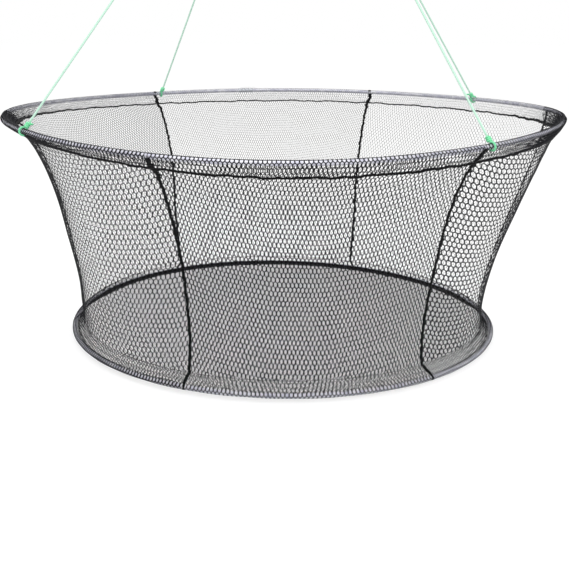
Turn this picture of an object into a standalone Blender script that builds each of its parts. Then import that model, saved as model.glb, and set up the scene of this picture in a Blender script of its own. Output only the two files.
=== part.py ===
"""Collapsible crab hoop net: two spring-wire hoops, a six-panel net wall, a net floor and a four-line bridle.

The net hangs from the eye at the top of its bridle. The origin is the inner crown of that eye, where a
hook bears, and +Z is up. Lengths are in metres and angles in degrees; azimuth 0 is +X and 90 is +Y.
Two slides move it: the top hoop rises towards the eye as the bridle goes slack, and the bottom hoop
rises towards the top hoop as the wall folds. The parent empties lie on those slides' axis.
"""

import math

import bmesh
import bpy
import numpy as np
from mathutils import Vector
from mathutils.geometry import delaunay_2d_cdt

# Hoops and height
TOP_HOOP_DIAMETER = 0.800
BOTTOM_HOOP_DIAMETER = 0.640
NET_HEIGHT = 0.314
HOOP_SADDLE = 0.0046
WIRE_DIAMETER = 0.006
WIRE_END_GAP = 0.001

# Ferrule crimped over the two ends of each hoop's wire
FERRULE_LENGTH = 0.026
FERRULE_WALL = 0.0008

# Hems: the pockets of doubled netting that hold the hoops
HEM_LENGTH = 0.020
HEM_WALL = 0.0009
HEM_EDGE_THICKNESS = 0.0016
HEM_VOID_SHARE = 0.68
TOP_HEM_SLOPE = 55.0
BOTTOM_HEM_SLOPE = 45.0

# Wall: how far its curve keeps to its direction at each end
WALL_TOP_PULL_IN = 0.0255
WALL_TOP_PULL_DOWN = 0.0095
WALL_FOOT_PULL_IN = 0.0035
WALL_FOOT_PULL_UP = 0.090

# Sway: the wall hangs a little to the right of the upper hoop, most of it near its top
WALL_SWAY = 0.009
SWAY_AZIMUTH = -10.0
SWAY_FALL_POWER = 5.0

# Netting
STRAND_WIDTH = 0.0034
STRAND_THICKNESS = 0.0016
SELVEDGE_WIDTH = 0.0040
SMALLEST_GAP_SHARE = 0.1
WALL_COLUMNS = 5
WALL_ROWS = 6
FLOOR_GAPS_ACROSS = 8.2

# Seams between the wall's panels
PANELS = 6
SEAM_PHASE = 6.5
SEAM_WIDTH = 0.0040
SEAM_THICKNESS = 0.0028
SEAM_DRIFTS = (-7.5, 0.0, -1.0, 0.0, 1.3, -0.6)

# Bridle
BRIDLE_HEIGHT = 0.485
BRIDLE_AZIMUTHS = (35.7, 123.7, 215.5, 307.6)
CORD_DIAMETER = 0.0028
HITCH_KNOT_DIAMETER = 0.0072
HITCH_KNOT_LENGTH = 0.0090
HITCH_TAIL_LENGTH = 0.0085

# Gathering knot and lifting eye
GATHER_KNOT_DIAMETER = 0.020
GATHER_WRAPS = 4
GATHER_WRAP_DEPTH = 0.0010
EYE_LENGTH = 0.045
EYE_CROWN_DIAMETER = 0.024
EYE_CORD_DIAMETER = 0.005

# Fits and facets
CLEARANCE = 0.0003
EDGE_GAP = 0.0008
STEPS_PER_PANEL = 8
WALL_STEPS = 12
ARC_POINTS = 7
CURVE_SAMPLES = 200

# Derived sizes
TOP_RADIUS = TOP_HOOP_DIAMETER / 2
BOTTOM_RADIUS = BOTTOM_HOOP_DIAMETER / 2
WIRE_RADIUS = WIRE_DIAMETER / 2
FERRULE_BORE = WIRE_RADIUS + CLEARANCE
FERRULE_RADIUS = FERRULE_BORE + FERRULE_WALL
ARC_STEP = 180.0 / (ARC_POINTS - 1)
FACET_FIT = math.cos(math.radians(ARC_STEP / 2))
HEM_BORE = (WIRE_RADIUS + CLEARANCE) / FACET_FIT
HEM_RADIUS = HEM_BORE + HEM_WALL
HEM_BULGE = (FERRULE_RADIUS + CLEARANCE) / FACET_FIT - HEM_BORE
CORD_RADIUS = CORD_DIAMETER / 2
TURN_RADIUS = HEM_RADIUS + CLEARANCE + CORD_RADIUS
GATHER_RADIUS = GATHER_KNOT_DIAMETER / 2
GATHER_TOP_RADIUS = EYE_CORD_DIAMETER + 2 * CLEARANCE
GATHER_TOP = math.sqrt(GATHER_RADIUS**2 - GATHER_TOP_RADIUS**2)
HOOP_STEPS = PANELS * STEPS_PER_PANEL
STEP_ANGLE = 360.0 / HOOP_STEPS
PANEL_ANGLE = 360.0 / PANELS
APEX_Z = -(EYE_LENGTH + GATHER_RADIUS)
TOP_Z = APEX_Z - BRIDLE_HEIGHT
BOTTOM_Z = TOP_Z - NET_HEIGHT


def clear_scene():
    for item in list(bpy.data.objects):
        bpy.data.objects.remove(item, do_unlink=True)


def finish_material(name, colour, roughness, metallic=0.0):
    material = bpy.data.materials.new(name)
    material.use_nodes = True
    shader = material.node_tree.nodes["Principled BSDF"]
    shader.inputs["Base Color"].default_value = (*colour, 1.0)
    shader.inputs["Roughness"].default_value = roughness
    shader.inputs["Metallic"].default_value = metallic
    return material


def add_group(name, z, parent=None):
    """An empty on the slides' axis, at height z above the origin."""
    group = bpy.data.objects.new(name, None)
    bpy.context.collection.objects.link(group)
    if parent is not None:
        group.parent = parent
        z -= parent.matrix_world.translation.z
    group.location.z = z
    bpy.context.view_layer.update()
    return group


def add_object(name, data, material, parent):
    item = bpy.data.objects.new(name, data)
    bpy.context.collection.objects.link(item)
    item.parent = parent
    if material is not None:
        data.materials.append(material)
    return item


def add_mesh(name, points, faces, material, parent):
    """A closed, smooth-shaded mesh with sharp edges kept."""
    mesh = bpy.data.meshes.new(name)
    mesh.from_pydata([tuple(p) for p in points], [], faces)
    mesh.validate()
    item = add_object(name, mesh, material, parent)
    mesh.shade_smooth()
    mesh.set_sharp_from_angle(angle=math.radians(40.0))
    return item


def add_cord(name, points, radius, material, parent, closed=False):
    """A round cord or wire along its points, eight-sided, with flat ends."""
    curve = bpy.data.curves.new(name, "CURVE")
    curve.dimensions = "3D"
    curve.bevel_depth = radius
    curve.bevel_resolution = 2
    curve.use_fill_caps = True
    spline = curve.splines.new("POLY")
    spline.points.add(len(points) - 1)
    for knot, point in zip(spline.points, points):
        knot.co = (*point, 1.0)
    spline.use_cyclic_u = closed
    return add_object(name, curve, material, parent)


def add_outward(name, points, faces, material, parent):
    """A mesh whose faces are turned to point out."""
    item = add_mesh(name, points, faces, material, parent)
    form = bmesh.new()
    form.from_mesh(item.data)
    bmesh.ops.recalc_face_normals(form, faces=form.faces)
    form.to_mesh(item.data)
    form.free()
    return item


def ring(centre, across, above, sides):
    """Points round an ellipse whose half axes are across and above."""
    turns = [2.0 * math.pi * (i + 0.5) / sides for i in range(sides)]
    return [centre + across * math.cos(t) + above * math.sin(t) for t in turns]


def sweep(name, rings, material, parent, closed=False):
    """A body through rings of equal count: capped at its two ends, or closed on itself."""
    sides = len(rings[0])
    points = [p for corners in rings for p in corners]
    faces = []
    for station in range(len(rings) if closed else len(rings) - 1):
        for i in range(sides):
            j = (i + 1) % sides
            here, there = station * sides, (station + 1) % len(rings) * sides
            faces.append((here + i, here + j, there + j, there + i))
    if not closed:
        faces += [tuple(range(sides)), tuple(range(len(points) - sides, len(points)))]
    return add_outward(name, points, faces, material, parent)


def boolean(item, other, operation):
    """Joins other to item or cuts it away; other stays as a hidden guide."""
    other.hide_render = True
    other.display_type = "WIRE"
    modifier = item.modifiers.new(operation.title(), "BOOLEAN")
    modifier.operation = operation
    modifier.solver = "EXACT"
    modifier.object = other


def turned(azimuth, out, up):
    """The point that lies out from the axis at an azimuth, and up."""
    angle = math.radians(azimuth)
    return Vector((out * math.cos(angle), out * math.sin(angle), up))


def saddle(azimuth):
    """How far the top hoop stands above its mean plane: its sides are raised, near and far are lowered."""
    return HOOP_SADDLE * math.cos(math.radians(2.0 * azimuth))


def step_azimuth(step):
    return SEAM_PHASE + step * STEP_ANGLE


def hoop_corner(radius, step, lift):
    """A corner of the faceted hoop."""
    azimuth = step_azimuth(step)
    return turned(azimuth, radius, lift(azimuth))


def hoop_point(radius, azimuth, lift):
    """The faceted hoop's point at an azimuth, which lies on the chord between two corners."""
    step = math.floor((azimuth - SEAM_PHASE) / STEP_ANGLE)
    half = math.radians(STEP_ANGLE / 2)
    across = math.radians(azimuth - step_azimuth(step)) - half
    share = 0.5 + math.tan(across) / (2.0 * math.tan(half))
    return hoop_corner(radius, step, lift).lerp(hoop_corner(radius, step + 1, lift), share)


def flat(_azimuth):
    return 0.0


# Hoops: spring wire bent round, its two ends butted inside a crimped ferrule


def hoop_wire(name, radius, lift, joint_step, material, parent):
    first = hoop_corner(radius, joint_step, lift)
    last = hoop_corner(radius, joint_step + 1, lift)
    middle = (first + last) / 2
    along = (last - first).normalized() * WIRE_END_GAP / 2
    corners = [hoop_corner(radius, joint_step + 1 + i, lift) for i in range(HOOP_STEPS)]
    return add_cord(name, [middle + along, *corners, middle - along], WIRE_RADIUS, material, parent)


def hoop_ferrule(name, radius, lift, joint_step, material, parent):
    """A straight tube over the wire's ends, round the chord that they share."""
    first = hoop_corner(radius, joint_step, lift)
    last = hoop_corner(radius, joint_step + 1, lift)
    along = (last - first).normalized()
    out = Vector((first.x + last.x, first.y + last.y, 0.0)).normalized()
    up = along.cross(out).normalized()
    sides = 12
    rings = []
    for end, reach in ((-1, FERRULE_BORE), (-1, FERRULE_RADIUS), (1, FERRULE_RADIUS), (1, FERRULE_BORE)):
        centre = (first + last) / 2 + along * end * FERRULE_LENGTH / 2
        size = reach / math.cos(math.pi / sides) if reach == FERRULE_BORE else reach
        rings.append(ring(centre, out * size, up * size, sides))
    return sweep(name, rings, material, parent, closed=True)


# Hems: a pocket of doubled netting round the wire, stitched shut along its edge


def hem_section(slope, grow):
    """Outer and inner outlines of a hem as (out, up) from the wire's centre.

    slope is the direction in which the pocket hangs off the wire. grow is how much wider it is, over the
    ferrule. Each outline is half a circle away from the pocket, then the two corners of the pocket's edge.
    """
    direction = math.radians(slope)
    tail = np.array((math.cos(direction), math.sin(direction)))
    side = np.array((-tail[1], tail[0]))
    turns = np.radians(90.0 + ARC_STEP * np.arange(ARC_POINTS))
    arc = np.outer(np.cos(turns), tail) + np.outer(np.sin(turns), side)
    edge = HEM_EDGE_THICKNESS / 2
    void = HEM_LENGTH * HEM_VOID_SHARE
    void_edge = (HEM_RADIUS - HEM_WALL) + (edge - HEM_RADIUS) * HEM_VOID_SHARE
    outer = [*(arc * (HEM_RADIUS + grow)), tail * HEM_LENGTH - side * edge, tail * HEM_LENGTH + side * edge]
    inner = [*(arc * (HEM_BORE + grow)), tail * void - side * void_edge, tail * void + side * void_edge]
    return outer, inner


def hem_ring(outline, radius, step, lift):
    """An outline stood on a corner of the hoop."""
    azimuth = step_azimuth(step)
    return [turned(azimuth, radius + out, lift(azimuth) + up) for out, up in outline]


def hem_stations(radius, slope, panel, lift, joint_step):
    """Outer and inner rings along one panel's hem, swollen over the ferrule where the hoop is joined."""
    plain = hem_section(slope, 0.0)
    wide = hem_section(slope, HEM_BULGE)
    end_share = CLEARANCE / (2.0 * radius * math.sin(math.radians(STEP_ANGLE / 2)))
    ferrule_share = (FERRULE_LENGTH / 2 + CLEARANCE) / (2.0 * radius * math.sin(math.radians(STEP_ANGLE / 2)))
    first = panel * STEPS_PER_PANEL
    places = [(first, end_share, plain)]
    for step in range(first, first + STEPS_PER_PANEL):
        if step > first:
            places.append((step, 0.0, plain))
        if step % HOOP_STEPS == joint_step % HOOP_STEPS:
            places.append((step, 0.5 - ferrule_share, wide))
            places.append((step, 0.5 + ferrule_share, wide))
    places.append((first + STEPS_PER_PANEL - 1, 1.0 - end_share, plain))
    stations = []
    for step, share, sections in places:
        rings = []
        for outline in sections:
            start = hem_ring(outline, radius, step, lift)
            stop = hem_ring(outline, radius, step + 1, lift)
            rings.append([a.lerp(b, share) for a, b in zip(start, stop)])
        stations.append(rings)
    return stations


def hem_sleeve(name, radius, slope, panel, lift, joint_step, material, parent):
    """One panel's hem: an open-ended pocket carried along its part of the hoop."""
    stations = hem_stations(radius, slope, panel, lift, joint_step)
    count = len(stations[0][0])
    points = [p for rings in stations for ring in rings for p in ring]
    faces = []
    for station in range(len(stations) - 1):
        for i in range(count):
            j = (i + 1) % count
            for skin in (0, count):
                here = station * 2 * count + skin
                there = here + 2 * count
                faces.append((here + i, here + j, there + j, there + i))
    for end in (0, (len(stations) - 1) * 2 * count):
        for i in range(count):
            j = (i + 1) % count
            faces.append((end + i, end + j, end + count + j, end + count + i))
    return add_outward(name, points, faces, material, parent)


# Netting: hexagonal gaps clipped to an outline, triangulated, and given its thickness


def clip(outline, point, inward):
    """The part of a convex outline on the inward side of a line."""
    kept = []
    for i, here in enumerate(outline):
        there = outline[(i + 1) % len(outline)]
        a = (here - point).dot(inward)
        b = (there - point).dot(inward)
        if a >= 0.0:
            kept.append(here)
        if a * b < 0.0:
            kept.append(here.lerp(there, a / (a - b)))
    return kept


def inset(outline, distance):
    """A convex outline, counter-clockwise, moved in by a distance."""
    kept = outline
    for i, here in enumerate(outline):
        along = (outline[(i + 1) % len(outline)] - here).normalized()
        inward = Vector((-along.y, along.x))
        kept = clip(kept, here + inward * distance, inward)
    return kept


def area(outline):
    pairs = zip(outline, outline[1:] + outline[:1])
    return sum(a.x * b.y - b.x * a.y for a, b in pairs) / 2


def net_gaps(border, seed, cell_width, cell_rise):
    """The gaps of a hexagonal net inside a convex border, each a convex outline.

    seed is the centre of one gap, cell_width the spacing of gaps along a row and cell_rise the spacing of
    rows, each of which is offset by half a gap. Slivers that the border cuts off are left solid.
    """
    inside = inset(border, SELVEDGE_WIDTH - STRAND_WIDTH / 2)
    smallest = cell_width * cell_rise * SMALLEST_GAP_SHARE
    left = math.floor((min(p.x for p in border) - seed.x) / cell_width) - 1
    right = math.ceil((max(p.x for p in border) - seed.x) / cell_width) + 1
    bottom = math.floor((min(p.y for p in border) - seed.y) / cell_rise) - 1
    top = math.ceil((max(p.y for p in border) - seed.y) / cell_rise) + 1
    corners = [(0, 2 / 3), (-1 / 2, 1 / 3), (-1 / 2, -1 / 3), (0, -2 / 3), (1 / 2, -1 / 3), (1 / 2, 1 / 3)]
    gaps = []
    for row in range(bottom, top + 1):
        for column in range(left, right + 1):
            centre = seed + Vector(((column + row % 2 / 2) * cell_width, row * cell_rise))
            cell = [centre + Vector((x * cell_width, y * cell_rise)) for x, y in corners]
            for i, here in enumerate(inside):
                along = (inside[(i + 1) % len(inside)] - here).normalized()
                cell = clip(cell, here, Vector((-along.y, along.x)))
                if len(cell) < 3:
                    break
            if len(cell) < 3:
                continue
            gap = inset(cell, STRAND_WIDTH / 2)
            if len(gap) >= 3 and area(gap) > smallest:
                gaps.append(gap)
    return gaps


def net_panel(name, border, gaps, place, material, parent):
    """A net of the given gaps. place puts a point of the flat net where it lies on the object."""
    points = [*border]
    edges = [(i, (i + 1) % len(border)) for i in range(len(border))]
    owner = [-1] * len(border)
    for number, gap in enumerate(gaps):
        first = len(points)
        points.extend(gap)
        owner.extend([number] * len(gap))
        edges.extend((first + i, first + (i + 1) % len(gap)) for i in range(len(gap)))
    merge = CLEARANCE / 1000
    found, _, faces, sources, _, _ = delaunay_2d_cdt(points, edges, [], 1, merge)
    owners = [owner[source[0]] if source else -1 for source in sources]
    strands = [f for f in faces if owners[f[0]] < 0 or len({owners[i] for i in f}) > 1]
    item = add_mesh(name, [place(p) for p in found], strands, material, parent)
    depth = item.modifiers.new("Strand depth", "SOLIDIFY")
    depth.thickness = STRAND_THICKNESS
    depth.offset = 0.0
    return item


def split_side(start, stop, steps):
    return [start.lerp(stop, i / steps) for i in range(steps)]


# Wall: the curve from the top hem's edge to the bottom hem's edge, and the panels and seams that follow it


def hem_edge(radius, slope, gap):
    """Where the middle of a hem's edge lies as (out, up), with a gap beyond it."""
    direction = math.radians(slope)
    reach = HEM_LENGTH + gap
    return np.array((radius + reach * math.cos(direction), reach * math.sin(direction)))


def wall_curve():
    """Points down the wall as (out, up) from the top hoop's centre, and each one's length along it."""
    head = hem_edge(TOP_RADIUS, 180.0 + TOP_HEM_SLOPE, EDGE_GAP)
    foot = hem_edge(BOTTOM_RADIUS, 180.0 - BOTTOM_HEM_SLOPE, EDGE_GAP) - np.array((0.0, NET_HEIGHT))
    head_pull = head - np.array((WALL_TOP_PULL_IN, WALL_TOP_PULL_DOWN))
    foot_pull = foot - np.array((WALL_FOOT_PULL_IN, -WALL_FOOT_PULL_UP))
    t = np.linspace(0.0, 1.0, CURVE_SAMPLES)[:, None]
    curve = (1 - t) ** 3 * head + 3 * (1 - t) ** 2 * t * head_pull + 3 * (1 - t) * t**2 * foot_pull + t**3 * foot
    steps = np.hypot(*np.diff(curve, axis=0).T)
    return curve, np.concatenate([np.zeros(1), np.cumsum(steps)])


WALL_POINTS, WALL_REACH = wall_curve()
WALL_LENGTH = float(WALL_REACH[-1])


def wall_at(share):
    """(out, up) at a share of the way down the wall."""
    reach = share * WALL_LENGTH
    return np.interp(reach, WALL_REACH, WALL_POINTS[:, 0]), np.interp(reach, WALL_REACH, WALL_POINTS[:, 1])


def sway(azimuth, share):
    """How far the wall stands further out here, as the whole wall hangs to one side of the upper hoop."""
    peak = 1.0 / (1.0 + SWAY_FALL_POWER)
    bump = (share / peak) * ((1.0 - share) / (1.0 - peak)) ** SWAY_FALL_POWER
    return WALL_SWAY * bump * math.cos(math.radians(azimuth - SWAY_AZIMUTH))


def drifted(azimuth, share):
    """The azimuth with the drift of the seams beside it, most halfway down, fading from seam to seam."""
    seam = (azimuth - SEAM_PHASE) / PANEL_ANGLE % PANELS
    before, past = int(seam), seam % 1.0
    drift = SEAM_DRIFTS[before] * (1.0 - past) + SEAM_DRIFTS[(before + 1) % PANELS] * past
    return azimuth + drift * 4.0 * share * (1.0 - share)


def wall_point(azimuth, share):
    out, up = wall_at(share)
    azimuth = drifted(azimuth, share)
    return turned(azimuth, out + sway(azimuth, share), up + saddle(azimuth) * (1.0 - share))


def wall_panel(name, panel, material, parent):
    """One sixth of the wall, between two seams."""
    start = SEAM_PHASE + panel * PANEL_ANGLE
    width = math.radians(PANEL_ANGLE) * wall_at(0.5)[0]
    corners = [Vector((0.0, 0.0)), Vector((width, 0.0)), Vector((width, WALL_LENGTH)), Vector((0.0, WALL_LENGTH))]
    border = []
    for i, steps in enumerate((STEPS_PER_PANEL, WALL_STEPS, STEPS_PER_PANEL, WALL_STEPS)):
        border.extend(split_side(corners[i], corners[(i + 1) % 4], steps))
    cell_width, cell_rise = width / WALL_COLUMNS, WALL_LENGTH / WALL_ROWS
    gaps = net_gaps(corners, Vector((cell_width, cell_rise)) / 2, cell_width, cell_rise)

    def place(point):
        share = 1.0 - point.y / WALL_LENGTH
        least_radius = wall_at(share)[0] + sway(SWAY_AZIMUTH + 180.0, share)
        edge = math.degrees((SEAM_WIDTH / 2 + CLEARANCE) / least_radius)
        across = edge + (PANEL_ANGLE - 2.0 * edge) * point.x / width
        return wall_point(start + across, share)

    return net_panel(name, border, gaps, place, material, parent)


def wall_seam(name, number, material, parent):
    """The overlocked edge where two panels meet: a flat-sided cord that follows the wall."""
    azimuth = SEAM_PHASE + number * PANEL_ANGLE
    rings = []
    for step in range(WALL_STEPS + 1):
        share = step / WALL_STEPS
        tangent = (wall_point(azimuth + 0.1, share) - wall_point(azimuth - 0.1, share)).normalized()
        slip = 1.0 / CURVE_SAMPLES
        above = wall_point(azimuth, max(share - slip, 0.0))
        below = wall_point(azimuth, min(share + slip, 1.0))
        normal = tangent.cross(below - above).normalized()
        centre = wall_point(azimuth, share)
        rings.append(ring(centre, tangent * SEAM_WIDTH / 2, normal * SEAM_THICKNESS / 2, 8))
    return sweep(name, rings, material, parent)


# Floor: a round net whose edge meets the inner side of the bottom hem


def floor_radius():
    """How far out the floor reaches, clear of the bottom hem's inner side at the floor's upper face."""
    outer, _ = hem_section(180.0 - BOTTOM_HEM_SLOPE, 0.0)
    lower, upper = outer[0], outer[-1]
    share = (STRAND_THICKNESS / 2 - lower[1]) / (upper[1] - lower[1])
    inner_side = lower[0] + (upper[0] - lower[0]) * share
    return BOTTOM_RADIUS + inner_side - HEM_BULGE - CLEARANCE


def floor_net(name, material, parent):
    radius = floor_radius()
    border = [turned(step_azimuth(step), radius, 0.0).to_2d() for step in range(HOOP_STEPS)]
    cell_width = 2.0 * radius / FLOOR_GAPS_ACROSS
    gaps = net_gaps(border, Vector((0.0, 0.0)), cell_width, cell_width * math.sqrt(3.0) / 2)
    return net_panel(name, border, gaps, lambda p: Vector((p.x, p.y, 0.0)), material, parent)


# Bridle: four cords hitched round the top hem and gathered under the lifting eye


def line_ends(azimuth):
    """The hoop's centre under a hitch, and the unit direction from it to the gathering knot."""
    seat = hoop_point(TOP_RADIUS, azimuth, saddle)
    return seat, (Vector((0.0, 0.0, APEX_Z - TOP_Z)) - seat).normalized()


def hitch_turn(name, azimuth, radius, parent):
    """The turn of cord round the hem, as a ring square to the wire."""
    seat, _ = line_ends(azimuth)
    across = turned(azimuth + 90.0, 1.0, 0.0)
    count = 16
    rings = []
    for i in range(count):
        t = 2.0 * math.pi * i / count
        away = turned(azimuth, math.cos(t), math.sin(t))
        rings.append(ring(seat + away * TURN_RADIUS, away * radius, across * radius, 8))
    return sweep(name, rings, None, parent, closed=True)


def lathe(name, profile, centre, axis, sides, material, parent):
    """A closed turned body. profile is a list of (along, out); its first and last points lie on the axis."""
    across = axis.orthogonal().normalized()
    third = axis.cross(across)
    points = [centre + axis * profile[0][0]]
    for along, out in profile[1:-1]:
        for i in range(sides):
            t = 2.0 * math.pi * i / sides
            points.append(centre + axis * along + (across * math.cos(t) + third * math.sin(t)) * out)
    points.append(centre + axis * profile[-1][0])
    last = len(points) - 1
    rings = len(profile) - 2
    faces = []
    for i in range(sides):
        j = (i + 1) % sides
        faces.append((0, 1 + j, 1 + i))
        for ring in range(rings - 1):
            here, there = 1 + ring * sides, 1 + (ring + 1) * sides
            faces.append((here + i, here + j, there + j, there + i))
        top = 1 + (rings - 1) * sides
        faces.append((top + i, top + j, last))
    return add_outward(name, points, faces, material, parent)


def hitch_knot_centre(azimuth):
    seat, towards = line_ends(azimuth)
    return seat + towards * (HEM_RADIUS + CLEARANCE + HITCH_KNOT_LENGTH / 2)


def bridle_hitch(name, number, material, parent):
    """A turn round the hem, its barrel knot on the inner side, and the cord's short end."""
    azimuth = BRIDLE_AZIMUTHS[number]
    _, towards = line_ends(azimuth)
    centre = hitch_knot_centre(azimuth)
    half = HITCH_KNOT_LENGTH / 2
    wide = HITCH_KNOT_DIAMETER / 2
    neck = wide - CORD_RADIUS / 2
    profile = [(-half, 0.0), (-half, neck), (-half / 2, wide), (0.0, neck), (half / 2, wide), (half, neck), (half, 0.0)]
    knot = lathe(name, profile, centre, towards, 10, material, parent)
    boolean(knot, hitch_turn(f"{name}_turn", azimuth, CORD_RADIUS, parent), "UNION")
    sideways = turned(azimuth + 90.0, 1.0, 0.0)
    up = Vector((0.0, 0.0, CORD_RADIUS))
    stub = [centre, centre + sideways * (wide + HITCH_TAIL_LENGTH) - up]
    rings = [ring(point, sideways.cross(up), up, 8) for point in stub]
    boolean(knot, sweep(f"{name}_end", rings, None, parent), "UNION")
    return knot


def bridle_line(name, number, material, parent):
    """The taut cord from its hitch to the gathering knot."""
    azimuth = BRIDLE_AZIMUTHS[number]
    _, towards = line_ends(azimuth)
    start = hitch_knot_centre(azimuth) + towards * (HITCH_KNOT_LENGTH / 2 + CLEARANCE)
    stop = Vector((0.0, 0.0, APEX_Z - TOP_Z)) - towards * (GATHER_RADIUS + CLEARANCE)
    return add_cord(name, [start, stop], CORD_RADIUS, material, parent)


def gather_knot(name, material, parent):
    """The wrapped knot that holds the four lines: a ball with grooves, flat on top under the eye's legs."""
    rings = GATHER_WRAPS * 4
    sweep_angle = math.pi - math.asin(GATHER_TOP_RADIUS / GATHER_RADIUS)
    profile = [(-GATHER_RADIUS, 0.0)]
    for i in range(1, rings + 1):
        polar = sweep_angle * i / rings
        groove = GATHER_WRAP_DEPTH * (1.0 - math.cos(2.0 * math.pi * GATHER_WRAPS * i / rings)) / 2
        reach = GATHER_RADIUS - groove
        profile.append((-reach * math.cos(polar), reach * math.sin(polar)))
    profile.append((GATHER_TOP, 0.0))
    up = Vector((0.0, 0.0, 1.0))
    return lathe(name, profile, Vector((0.0, 0.0, APEX_Z)), up, 12, material, parent)


def lift_eye(name, material, parent):
    """A loop of doubled cord: straight legs that leave the knot side by side and a round crown."""
    cord = EYE_CORD_DIAMETER / 2
    crown = EYE_CROWN_DIAMETER / 2 + cord
    crown_z = -EYE_CROWN_DIAMETER / 2
    leg = cord + CLEARANCE
    foot_z = APEX_Z + GATHER_TOP + CLEARANCE
    bend_z = foot_z + EYE_CORD_DIAMETER
    reach = math.hypot(leg, bend_z - crown_z)
    touch = math.atan2(bend_z - crown_z, leg) + math.acos(crown / reach)
    arc_steps = 12
    points = [Vector((leg, 0.0, foot_z)), Vector((leg, 0.0, bend_z))]
    for i in range(arc_steps + 1):
        t = touch + (math.pi - 2.0 * touch) * i / arc_steps
        points.append(Vector((crown * math.cos(t), 0.0, crown_z + crown * math.sin(t))))
    points += [Vector((-leg, 0.0, bend_z)), Vector((-leg, 0.0, foot_z))]
    return add_cord(name, points, cord, material, parent)


# Assembly
clear_scene()
wire = finish_material("lavender grey coated wire", (0.42, 0.43, 0.52), 0.32)
steel = finish_material("crimped steel ferrule", (0.55, 0.56, 0.58), 0.4, 0.9)
netting = finish_material("black knitted netting", (0.012, 0.012, 0.014), 0.65)
overlock = finish_material("black overlocked seam", (0.008, 0.008, 0.010), 0.75)
green = finish_material("bright green braided cord", (0.14, 0.78, 0.36), 0.55)

lift_group = add_group("lift_point", 0.0)
top_group = add_group("top_hoop_slide", TOP_Z, lift_group)
bottom_group = add_group("bottom_hoop_slide", BOTTOM_Z, top_group)

TOP_JOINT_STEP = STEPS_PER_PANEL + STEPS_PER_PANEL // 2
BOTTOM_JOINT_STEP = STEPS_PER_PANEL // 2
hoops = (
    ("top", TOP_RADIUS, 180.0 + TOP_HEM_SLOPE, saddle, TOP_JOINT_STEP, top_group),
    ("bottom", BOTTOM_RADIUS, 180.0 - BOTTOM_HEM_SLOPE, flat, BOTTOM_JOINT_STEP, bottom_group),
)
hems = {}
for side, radius, slope, lift, joint_step, group in hoops:
    hoop_wire(f"{side}_hoop_wire", radius, lift, joint_step, wire, group)
    hoop_ferrule(f"{side}_hoop_ferrule", radius, lift, joint_step, steel, group)
    for panel in range(PANELS):
        name = f"{side}_hem_{panel + 1}"
        hems[side, panel] = hem_sleeve(name, radius, slope, panel, lift, joint_step, netting, group)

for panel in range(PANELS):
    wall_panel(f"wall_panel_{panel + 1}", panel, netting, top_group)
    wall_seam(f"wall_seam_{panel + 1}", panel, overlock, top_group)
floor_net("floor_net", netting, bottom_group)

for number, azimuth in enumerate(BRIDLE_AZIMUTHS):
    bridle_hitch(f"bridle_hitch_{number + 1}", number, green, top_group)
    bridle_line(f"bridle_line_{number + 1}", number, green, top_group)
    under = int((azimuth - SEAM_PHASE) % 360.0 // PANEL_ANGLE)
    passage = hitch_turn(f"hitch_passage_{number + 1}", azimuth, CORD_RADIUS + CLEARANCE, top_group)
    boolean(hems["top", under], passage, "DIFFERENCE")

gather_knot("gather_knot", green, lift_group)
lift_eye("lift_eye", green, lift_group)
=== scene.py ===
import math

import bpy
import numpy as np
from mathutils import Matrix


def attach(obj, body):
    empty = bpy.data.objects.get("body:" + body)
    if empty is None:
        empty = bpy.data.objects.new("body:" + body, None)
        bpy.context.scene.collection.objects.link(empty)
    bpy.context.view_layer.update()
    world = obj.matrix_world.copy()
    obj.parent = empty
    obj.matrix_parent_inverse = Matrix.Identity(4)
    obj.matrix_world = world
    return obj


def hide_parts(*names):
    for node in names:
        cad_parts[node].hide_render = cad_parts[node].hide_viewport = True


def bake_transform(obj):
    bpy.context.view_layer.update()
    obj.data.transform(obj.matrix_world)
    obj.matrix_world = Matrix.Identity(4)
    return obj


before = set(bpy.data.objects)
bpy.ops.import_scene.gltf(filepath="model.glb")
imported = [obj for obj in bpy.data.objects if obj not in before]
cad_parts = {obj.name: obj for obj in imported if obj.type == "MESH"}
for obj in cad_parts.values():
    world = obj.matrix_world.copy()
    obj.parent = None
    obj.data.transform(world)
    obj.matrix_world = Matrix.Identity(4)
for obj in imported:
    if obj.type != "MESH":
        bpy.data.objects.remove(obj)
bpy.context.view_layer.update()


# The picture: the net hangs just over a pale floor in a white room, and the camera looks down at it by 16
# degrees from the front. The room's light is soft and comes mostly from above, as in a product photograph.
eye = bpy.data.objects.new("picture_camera", bpy.data.cameras.new("picture_camera"))
eye.location = (0.0, -1.4530, -0.3723)
eye.rotation_euler = (math.radians(73.494), math.radians(-0.189), math.radians(-0.025))
eye.data.lens = 61.535
eye.data.sensor_width = 36.0
eye.data.clip_start = 0.02
bpy.context.scene.collection.objects.link(eye)
bpy.context.scene.camera = eye
bpy.context.scene.view_settings.view_transform = "Standard"


def linear(hex_colour):
    """An sRGB hex colour as linear light: each channel undoes the display's curve, and alpha is 1."""
    s = np.array([int(hex_colour[i : i + 2], 16) for i in (1, 3, 5)]) / 255.0
    return (*np.where(s <= 0.04045, s / 12.92, ((s + 0.055) / 1.055) ** 2.4).tolist(), 1.0)


def add_node(tree, kind, links=None, **settings):
    """Adds one node with its settings. Each entry of links is a socket's value, or the output it takes."""
    node = tree.nodes.new(kind)
    for key, value in settings.items():
        setattr(node, key, value)
    for key, value in (links or {}).items():
        if isinstance(value, bpy.types.NodeSocket):
            tree.links.new(value, node.inputs[key])
        else:
            node.inputs[key].default_value = value
    return node


def new_finish(name):
    """An empty node material of the given name, and its tree."""
    made = bpy.data.materials.new(name)
    made.use_nodes = True
    made.node_tree.nodes.clear()
    return made, made.node_tree


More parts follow.
